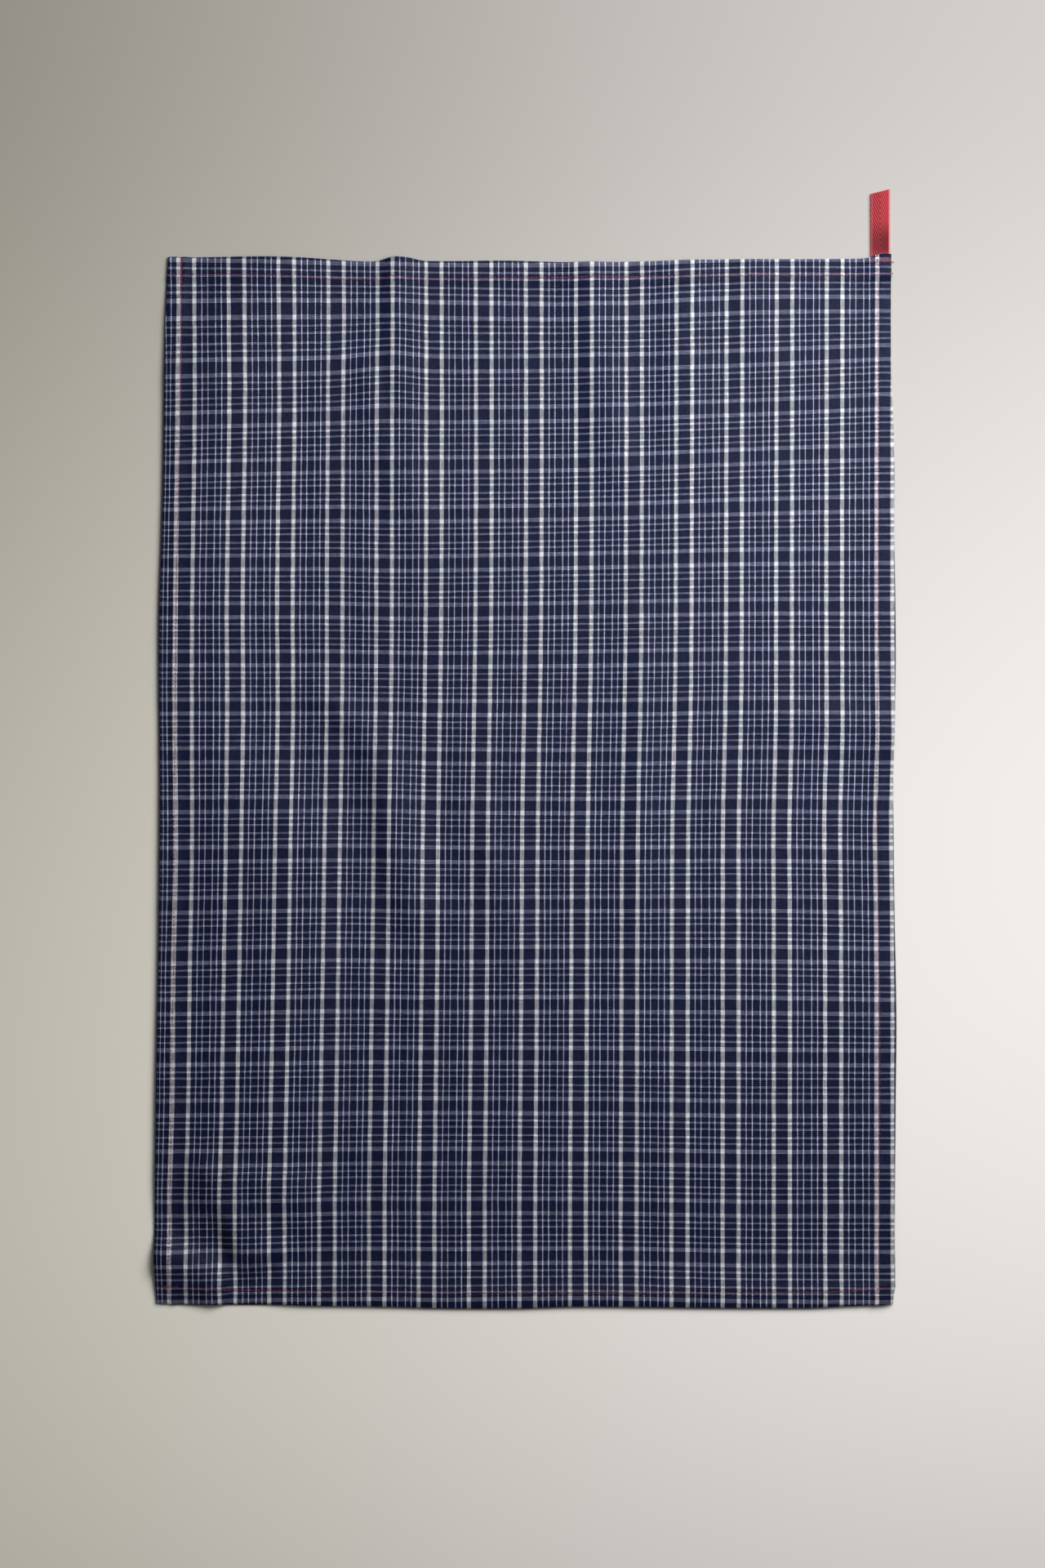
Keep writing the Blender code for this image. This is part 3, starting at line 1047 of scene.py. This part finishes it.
    def puckers(self, over: float, up: float) -> float:
        """Height of the small puckers that the stitching draws up along the hems."""
        inset, reach = self.pucker_inset, self.pucker_reach
        near = max(hump(away - hem + inset, reach) for away, hem in self.edges_from(over, up))
        if near <= 0.0:
            return 0.0
        place = Vector((over / self.pucker_length, up / self.pucker_length, self.pucker_slice))
        return self.pucker * near * (0.5 + noise.noise(place))

    def place(self, across: Station, upward: Station) -> Vector:
        """Where the middle of the sheet lies at a crossing of two stations, in mm."""
        x, y = self.lie.point(across.over, upward.over)
        layers, pitch = self.stack(across.over, upward.over)
        depth = (1.0 - math.cos(across.turn)) / 2.0
        radius = (layers / 2.0 - depth) * pitch
        level = layers / 2.0 * pitch + radius * math.cos(upward.turn)
        z = self.lie.underside(x, y) + self.puckers(across.over, upward.over) + self.thickness / 2.0 + level
        out_x = across.side * self.layer_pitch / 2.0 * math.sin(across.turn)
        out_y = upward.side * radius * math.sin(upward.turn)
        return Vector((x + out_x, y + out_y, z))

    def threads(self, across: Station, upward: Station) -> tuple[float, float]:
        """The end and the pick that cross at two stations."""
        over = self.turning(across, self.lie.width)
        up = self.turning(upward, self.lie.length)
        end, pick = self.count.at(*self.lie.point(over, up))
        ends_past = across.side * across.past / self.count.end_pitch
        picks_past = upward.side * upward.past / self.count.pick_pitch
        return end + ends_past, pick - picks_past

    def turning(self, station: Station, span: float) -> float:
        """Where a station's cloth leaves the upper layer."""
        if station.side == 0:
            return station.over
        return self.inset if station.side < 0 else span - self.inset

    def build(self) -> Object:
        """Build the sheet, give it its thickness and its thread numbers, and dress it."""
        across = self.stations(self.lie.width, self.left_hem, self.right_hem)
        upward = self.stations(self.lie.length, self.bottom_hem, self.top_hem)
        shape, rows = grid_shape(len(across), len(upward))
        numbers = {}
        for row, up in zip(rows, upward):
            for point, over in zip(row, across):
                point.co = self.place(over, up) * MM
                numbers[point] = self.threads(over, up)
        write_uv(shape, "thread_count", numbers)
        bmesh.ops.recalc_face_normals(shape, faces=shape.faces)
        cloth = mesh_object("checked_cloth", shape, CheckedCotton().material())
        body = cloth.modifiers.new("cloth thickness", "SOLIDIFY")
        body.thickness = self.thickness * MM
        body.offset = 0.0
        return cloth


@dataclass
class HangingLoop:
    """The loop: one tape folded in two, its lower run flat, its upper run a little arched."""

    sizes: TapeSizes
    thickness: float = 0.6
    turn_radius: float = 0.6
    turn_centre: float = 42.3
    arch_height: float = 1.5
    arch_foot: float = 3.0
    arch_top_start: float = 18.0
    arch_top_end: float = 27.0
    top_slant: float = 3.3
    columns: int = 10
    step: float = 1.0
    turn_steps: int = 10

    def side_line(self) -> list[tuple[float, float]]:
        """The tape's middle line seen from its side, as y from the hem's edge and z, in mm."""
        low = self.sizes.layer_room / 2.0
        high = low + self.sizes.layer_room + self.sizes.gap
        turn_top = low + 2.0 * self.turn_radius
        ahead = steps(-self.sizes.tuck, self.turn_centre, self.step)
        line = [(y, low) for y in ahead]
        for step in range(1, self.turn_steps):
            angle = math.pi * step / self.turn_steps
            out = self.turn_radius * math.sin(angle)
            rise = self.turn_radius * (1.0 - math.cos(angle))
            line.append((self.turn_centre + out, low + rise))
        for y in reversed(ahead):
            rise = smooth_step((y - self.arch_foot) / (self.arch_top_start - self.arch_foot))
            fall = smooth_step((y - self.arch_top_end) / (self.turn_centre - self.arch_top_end))
            line.append((y, high + (self.arch_height - high) * rise - (self.arch_height - turn_top) * fall))
        return line

    def length(self) -> float:
        """The tape's cut length, in mm."""
        line = self.side_line()
        return sum(math.dist(start, end) for start, end in zip(line, line[1:]))

    def build(self) -> Object:
        """Build the tape and dress it."""
        line = self.side_line()
        shape, rows = grid_shape(self.columns + 1, len(line))
        places = {}
        run = 0.0
        for index, (row, (y, z)) in enumerate(zip(rows, line)):
            run += math.dist(line[index - 1], line[index]) if index else 0.0
            slant = self.top_slant * smooth_step(y / self.turn_centre)
            for column, point in enumerate(row):
                aside = column / self.columns - 0.5
                x = self.sizes.centre_x + self.sizes.width * aside
                point.co = Vector((x, self.sizes.hem_line + y + slant * aside, z)) * MM
                places[point] = (self.sizes.width * (aside + 0.5), run)
        write_uv(shape, "tape_mm", places)
        bmesh.ops.recalc_face_normals(shape, faces=shape.faces)
        tape = mesh_object("tape_loop", shape, HerringboneTape().material(self.sizes.width))
        body = tape.modifiers.new("tape thickness", "SOLIDIFY")
        body.thickness = self.thickness * MM
        body.offset = 0.0
        body.use_even_offset = True
        return tape


# The bar of stitches over the tape: between which X its rows are drawn and how much they rise, and
# where their stitches start and end.
BAR_SIDES = (230.0, 247.0)
BAR_RISE = 0.2
BAR_START = 230.6
BAR_END = 244.6


class Seam(NamedTuple):
    """One row of stitching: its name, its line, whether it runs up the towel, and its start and end."""

    name: str
    line: tuple[EdgePoint, ...]
    upward: bool
    start: float
    end: float

    def point(self, along: float) -> tuple[float, float]:
        """The lying point at a distance along the row."""
        at = line_at(self.line, along)
        return (at, along) if self.upward else (along, at)


def beside(line: Sequence[EdgePoint], offset: float) -> tuple[EdgePoint, ...]:
    """A second row of stitches beside a seam's line."""
    return tuple(EdgePoint(point.along, point.at + offset) for point in line)


def bar_row(name: str, y: float, late: float) -> Seam:
    """One row of the bar of stitches that holds the tape, its first stitch a little late."""
    line = wandering((BAR_SIDES[0], y), (BAR_SIDES[1], y + BAR_RISE))
    return Seam(name, line, False, BAR_START + late, BAR_END)


SEAMS = (
    Seam("left side", LEFT_SEAM, True, -367.0, 327.8),
    Seam("right side", RIGHT_SEAM, True, -367.0, 324.0),
    Seam("bottom end", BOTTOM_SEAM, False, -245.5, 246.0),
    Seam("top end", TOP_SEAM, False, -236.5, 244.3),
    Seam("back-tack, bottom left", beside(BOTTOM_SEAM, 0.7), False, -243.0, -231.0),
    Seam("back-tack, bottom right", beside(BOTTOM_SEAM, 0.7), False, 232.0, 241.0),
    Seam("back-tack, top left", beside(LEFT_SEAM, 0.5), True, 308.0, 327.8),
    bar_row("bar, first row", 324.7, 0.0),
    bar_row("bar, second row", 325.3, 1.4),
    bar_row("bar, third row", 325.9, 0.0),
    bar_row("bar, fourth row", 326.5, 1.4),
)


class Tail(NamedTuple):
    """A cut end of the sewing thread, from where it leaves the cloth to its tip, in mm."""

    start: tuple[float, float, float]
    end: tuple[float, float, float]


TAILS = (
    Tail((244.4, 325.1, 3.5), (246.9, 324.5, 2.6)),
    Tail((244.1, 316.8, 3.2), (246.5, 317.5, 2.1)),
    Tail((245.6, -359.5, 3.0), (248.3, -358.2, 1.8)),
)


@dataclass
class Stitching:
    """The red stitching: lockstitch along the four hems, and the bar of stitches over the tape."""

    skin: BVHTree
    pitch: float = 2.8
    stitch_length: float = 2.1
    width: float = 0.78
    height: float = 0.4
    sink: float = 0.02
    clearance: float = 60.0
    sides: int = 6
    rings: int = 5

    def touch(self, x: float, y: float, above: bool) -> Vector:
        """The point where the thread touches the cloth, on its upper or its lowest face, in mm."""
        start = Vector((x, y, self.clearance if above else -self.clearance)) * MM
        found = self.skin.ray_cast(start, Vector((0.0, 0.0, -1.0 if above else 1.0)))[0]
        return found / MM + Vector((0.0, 0.0, -self.sink if above else self.sink))

    def grain_mesh(self) -> bpy.types.Mesh:
        """One stitch of unit size, lying along Z, which every stitch is a copy of."""
        shape = bmesh.new()
        shape.loops.layers.uv.new("thread_turn")
        bmesh.ops.create_uvsphere(
            shape, u_segments=self.sides, v_segments=self.rings, radius=1.0, calc_uvs=True
        )
        mesh = bpy.data.meshes.new("stitch")
        shape.to_mesh(mesh)
        shape.free()
        return mesh

    def add_stitch(self, shape: Shape, grain: bpy.types.Mesh, start: Vector, end: Vector) -> None:
        """Add one stitch: a grain of thread that lies between two points, in mm."""
        run = end - start
        along = run.normalized()
        aside = Vector((0.0, 0.0, 1.0)).cross(along).normalized()
        upward = along.cross(aside)
        sizes = (aside * self.width / 2.0, upward * self.height / 2.0, along * run.length / 2.0)
        turn = Matrix(sizes).transposed() * MM
        copy = grain.copy()
        copy.transform(Matrix.Translation((start + end) / 2.0 * MM) @ turn.to_4x4())
        shape.from_mesh(copy)
        bpy.data.meshes.remove(copy)

    def build(self) -> Object:
        """Build every seam on both faces and dress the thread."""
        shape = bmesh.new()
        grain = self.grain_mesh()
        spare = (1.0 - self.stitch_length / self.pitch) / 2.0
        for seam in SEAMS:
            holes = [Vector(seam.point(along)) for along in steps(seam.start, seam.end, self.pitch)]
            for start, end in zip(holes, holes[1:]):
                first, last = start.lerp(end, spare), start.lerp(end, 1.0 - spare)
                for above in (True, False):
                    self.add_stitch(shape, grain, self.touch(*first, above), self.touch(*last, above))
        for tail in TAILS:
            self.add_stitch(shape, grain, Vector(tail.start), Vector(tail.end))
        bpy.data.meshes.remove(grain)
        return mesh_object("red_stitching", shape, SewingCotton().material())


class Lamp(NamedTuple):
    """A soft light: its name, its place and its side in metres, and its power."""

    name: str
    place: tuple[float, float, float]
    side: float
    watts: float


@dataclass
class Studio:
    """The floor, the lamp, the pale sky around them and the camera."""

    floor_side: float = 6.0
    floor_drop: float = 0.4
    camera_x: float = -1.1
    camera_y: float = -23.2
    camera_height: float = 2.472
    lens: float = 85.0
    key: Lamp = Lamp("key_light", (0.5, 0.45, 0.86), 0.86, 16.6)
    sky: Color = (0.93, 0.96, 1.0)
    sky_strength: float = 0.095

    @staticmethod
    def hang(lamp: Lamp) -> None:
        """Hang a square soft light, turned to the middle of the floor."""
        light = bpy.data.lights.new(lamp.name, "AREA")
        light.energy = lamp.watts
        light.size = lamp.side
        hung = bpy.data.objects.new(lamp.name, light)
        hung.location = lamp.place
        hung.rotation_euler = (-Vector(lamp.place)).to_track_quat("-Z", "Y").to_euler()
        bpy.context.scene.collection.objects.link(hung)

    def build(self) -> None:
        """Build the floor, the lamp, the sky and the camera."""
        shape = bmesh.new()
        bmesh.ops.create_grid(shape, x_segments=1, y_segments=1, size=self.floor_side / 2.0)
        bmesh.ops.translate(shape, verts=shape.verts, vec=(0.0, 0.0, -self.floor_drop * MM))
        floor = mesh_object("floor", shape, FloorPaint().material())

        self.hang(self.key)

        world = bpy.data.worlds.new("soft_studio")
        world.use_nodes = True
        ground = world.node_tree.nodes["Background"]
        ground.inputs["Color"].default_value = (*self.sky, 1.0)
        ground.inputs["Strength"].default_value = self.sky_strength
        bpy.context.scene.world = world

        lens = bpy.data.cameras.new("camera")
        lens.lens = self.lens
        camera = bpy.data.objects.new("camera", lens)
        camera.location = (self.camera_x * MM, self.camera_y * MM, self.camera_height)
        bpy.context.scene.collection.objects.link(camera)
        bpy.context.scene.camera = camera
        bpy.context.scene.view_settings.view_transform = "Standard"


def main() -> None:
    """Build the studio and the towel's pieces in order, attach each one to the root and hide the imported
    solids.
    """
    logging.basicConfig(level=logging.INFO, format="%(name)s: %(message)s")
    Studio().build()
    sizes = TapeSizes()
    cloth_piece = TowelCloth(Lie(tape=sizes))
    cloth = cloth_piece.build()
    log.info("%s: %d faces", cloth.name, len(cloth.data.polygons))
    loop_piece = HangingLoop(sizes)
    loop = loop_piece.build()
    log.info("%s: %.1f mm of tape", loop.name, loop_piece.length())
    bpy.context.view_layer.update()
    stitching = Stitching(BVHTree.FromObject(cloth, bpy.context.evaluated_depsgraph_get())).build()
    log.info("%s: %d faces", stitching.name, len(stitching.data.polygons))

    for piece, slot in ((cloth, "checked_cotton"), (loop, "red_tape"), (stitching, "red_tape")):
        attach(piece, "root")
    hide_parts("towel_cloth")
    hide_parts("hanging_loop")


if __name__ == "__main__":
    main()
